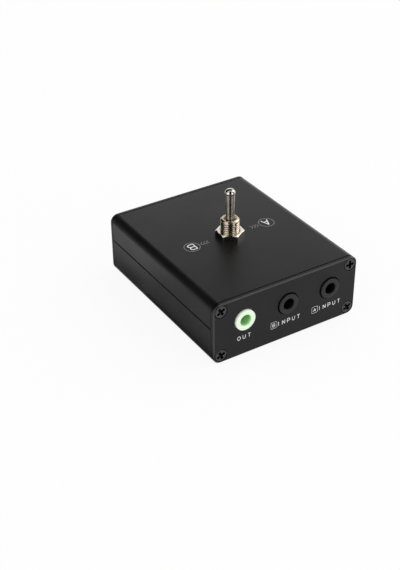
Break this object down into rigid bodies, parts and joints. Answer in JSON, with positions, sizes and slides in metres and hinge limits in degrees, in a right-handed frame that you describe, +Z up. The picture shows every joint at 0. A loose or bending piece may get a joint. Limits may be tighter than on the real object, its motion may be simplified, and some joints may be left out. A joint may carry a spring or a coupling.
{
  "type": "audio switch box",
  "caption": "Small metal desk box that routes one of two stereo plug inputs to one output with a centre-off toggle on its lid.",
  "frame": {"origin": "middle of the underside, on the surface that the box stands on", "axes": "+X to the right of the front plate with its jacks, +Y from the front plate to the rear plate, +Z up along the upright lever"},
  "size_m": [0.05, 0.0605, 0.0357],
  "materials": {
    "black_anodised_aluminium": "bead-blasted and anodised black, satin",
    "blackened_steel": "black zinc, satin",
    "board_laminate": "solder mask over glass laminate",
    "solder": "bright solder",
    "nickel_plated_brass": "polished nickel plate with a warm tint",
    "tinned_steel": "tin plate",
    "blue_moulding": "moulded thermoset",
    "silvered_brass": "silver plate",
    "spring_steel": "bright wire",
    "white_nylon": "natural moulded",
    "lime_green_plastic": "semi-gloss moulded",
    "black_plastic": "semi-gloss moulded"
  },
  "bodies": {
    "switch_box": {"bottom_shell": "black_anodised_aluminium", "circuit_board": "board_laminate", "front_plate": "black_anodised_aluminium", "front_plate_screws": "blackened_steel", "inner_nut": "nickel_plated_brass", "input_a_jack_housing": "black_plastic", "input_a_jack_ring_contact": "silvered_brass", "input_a_jack_sleeve_contact": "silvered_brass", "input_a_jack_tip_contact": "silvered_brass", "input_b_jack_housing": "black_plastic", "input_b_jack_ring_contact": "silvered_brass", "input_b_jack_sleeve_contact": "silvered_brass", "input_b_jack_tip_contact": "silvered_brass", "out_jack_housing": "lime_green_plastic", "out_jack_ring_contact": "silvered_brass", "out_jack_sleeve_contact": "silvered_brass", "out_jack_tip_contact": "silvered_brass", "panel_nut": "nickel_plated_brass", "rear_plate": "black_anodised_aluminium", "rear_plate_screws": "blackened_steel", "solder_joints": "solder", "switch_case": "blue_moulding", "switch_frame": "tinned_steel", "switch_terminals": "silvered_brass", "toggle_bushing": "nickel_plated_brass", "top_shell": "black_anodised_aluminium"},
    "toggle": {"toggle_lever": "nickel_plated_brass", "lever_pivot_pin": "spring_steel", "plunger_carrier": "white_nylon", "plungers": "white_nylon", "plunger_springs": "spring_steel"},
    "front_rocker": {"front_rocker": "silvered_brass"},
    "rear_rocker": {"rear_rocker": "silvered_brass"}
  },
  "joints": [
    {"name": "lever_tilt", "type": "hinge", "parent": "switch_box", "child": "toggle", "pos_m": [0, 0, 0.0228], "axis": [0, 1, 0], "range_deg": [-12, 12]},
    {"name": "front_rocker_tilt", "type": "hinge", "parent": "switch_box", "child": "front_rocker", "pos_m": [0, -0.0024, 0.0101], "axis": [0, 1, 0], "range_deg": [-8.1, 8.1]},
    {"name": "rear_rocker_tilt", "type": "hinge", "parent": "switch_box", "child": "rear_rocker", "pos_m": [0, 0.0024, 0.0101], "axis": [0, 1, 0], "range_deg": [-8.1, 8.1]}
  ],
  "couplings": [
    {"joint": "front_rocker_tilt", "follows": "lever_tilt", "ratio": -0.6667},
    {"joint": "rear_rocker_tilt", "follows": "lever_tilt", "ratio": -0.6667}
  ]
}
